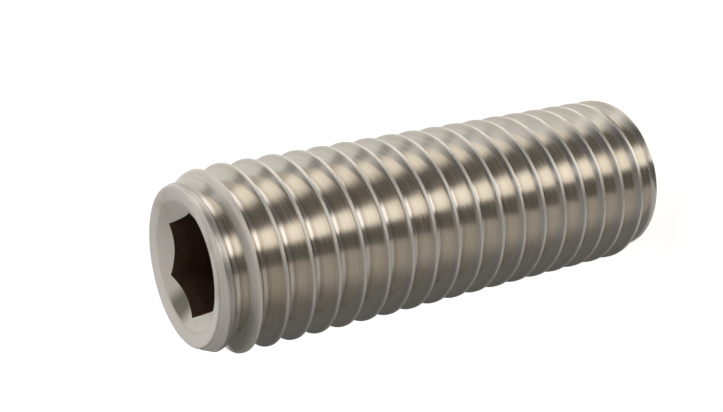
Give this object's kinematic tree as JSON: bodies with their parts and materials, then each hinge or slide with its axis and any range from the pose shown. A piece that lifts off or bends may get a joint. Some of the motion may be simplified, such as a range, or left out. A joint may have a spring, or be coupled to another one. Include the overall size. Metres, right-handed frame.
{
  "type": "grub set screw",
  "caption": "Headless hexagon socket set screw, threaded along its whole length, with a chamfered flat point that clamps a hub or collar to its shaft.",
  "frame": {"origin": "middle of the flat point's face, which is the lowest face of the screw", "axes": "+Z along the screw's axis, from the flat point up to the socket end; +X square to a flat of the hexagon"},
  "size_m": [0.0098, 0.0098, 0.03],
  "materials": {
    "stainless_steel": "satin"
  },
  "bodies": {
    "root": {"set_screw": "stainless_steel"}
  },
  "joints": []
}
